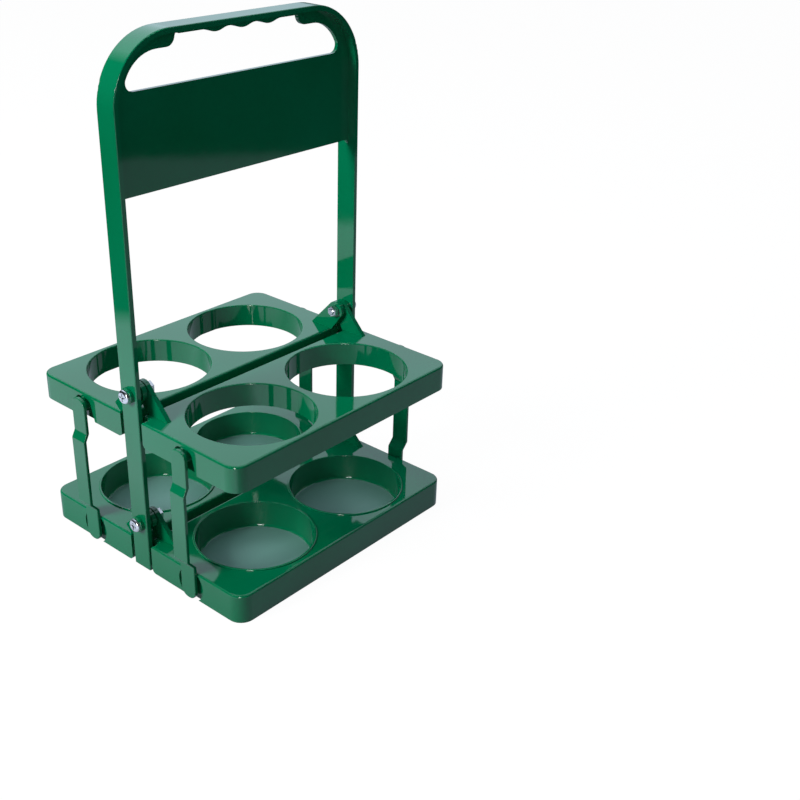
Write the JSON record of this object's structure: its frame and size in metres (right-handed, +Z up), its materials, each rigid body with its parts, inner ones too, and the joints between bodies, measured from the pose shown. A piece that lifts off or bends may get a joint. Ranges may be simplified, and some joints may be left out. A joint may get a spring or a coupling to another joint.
{
  "type": "foldable bottle carrier",
  "caption": "Upright handle with two hinged tray halves and two holed top plates that fold up flat beside it, for carrying large bottles.",
  "frame": {"origin": "on the ground, in the middle of the carrier, where the two halves part under the handle", "axes": "+Z up, X along the pivots and across the handle, Y across the two folding halves"},
  "size_m": [0.2378, 0.212, 0.382],
  "materials": {
    "moulding": "high-gloss moulded",
    "fastener": "bright plated steel"
  },
  "bodies": {
    "handle": {"handle_frame": "moulding", "left_upper_screw": "fastener", "left_upper_nut": "fastener", "right_upper_screw": "fastener", "right_upper_nut": "fastener", "left_lower_screw": "fastener", "left_lower_nut": "fastener", "right_lower_screw": "fastener", "right_lower_nut": "fastener"},
    "front_tray": {"front_bottle_tray": "moulding"},
    "front_plate": {"front_top_plate": "moulding"},
    "front_left_link": {"front_left_strut": "moulding"},
    "front_right_link": {"front_right_strut": "moulding"},
    "rear_tray": {"rear_bottle_tray": "moulding"},
    "rear_plate": {"rear_top_plate": "moulding"},
    "rear_left_link": {"rear_left_strut": "moulding"},
    "rear_right_link": {"rear_right_strut": "moulding"}
  },
  "joints": [
    {"name": "front_fold", "type": "hinge", "parent": "handle", "child": "front_tray", "pos_m": [0, 0, 0.0376], "axis": [-1, 0, 0], "range_deg": [0, 90]},
    {"name": "front_plate_fold", "type": "hinge", "parent": "handle", "child": "front_plate", "pos_m": [0, 0, 0.142], "axis": [-1, 0, 0], "range_deg": [0, 90]},
    {"name": "front_left_pin", "type": "hinge", "parent": "front_tray", "child": "front_left_link", "pos_m": [-0.1125, -0.0546, 0.0106], "axis": [1, 0, 0], "range_deg": [0, 90]},
    {"name": "front_right_pin", "type": "hinge", "parent": "front_tray", "child": "front_right_link", "pos_m": [0.1125, -0.0546, 0.0106], "axis": [1, 0, 0], "range_deg": [0, 90]},
    {"name": "rear_fold", "type": "hinge", "parent": "handle", "child": "rear_tray", "pos_m": [0, 0, 0.0376], "axis": [1, 0, 0], "range_deg": [0, 90]},
    {"name": "rear_plate_fold", "type": "hinge", "parent": "handle", "child": "rear_plate", "pos_m": [0, 0, 0.142], "axis": [1, 0, 0], "range_deg": [0, 90]},
    {"name": "rear_left_pin", "type": "hinge", "parent": "rear_tray", "child": "rear_left_link", "pos_m": [-0.1125, 0.0546, 0.0106], "axis": [-1, 0, 0], "range_deg": [0, 90]},
    {"name": "rear_right_pin", "type": "hinge", "parent": "rear_tray", "child": "rear_right_link", "pos_m": [0.1125, 0.0546, 0.0106], "axis": [-1, 0, 0], "range_deg": [0, 90]}
  ],
  "couplings": [
    {"joint": "front_plate_fold", "follows": "front_fold", "ratio": 1},
    {"joint": "front_left_pin", "follows": "front_fold", "ratio": 1},
    {"joint": "front_right_pin", "follows": "front_fold", "ratio": 1},
    {"joint": "rear_plate_fold", "follows": "rear_fold", "ratio": 1},
    {"joint": "rear_left_pin", "follows": "rear_fold", "ratio": 1},
    {"joint": "rear_right_pin", "follows": "rear_fold", "ratio": 1}
  ]
}
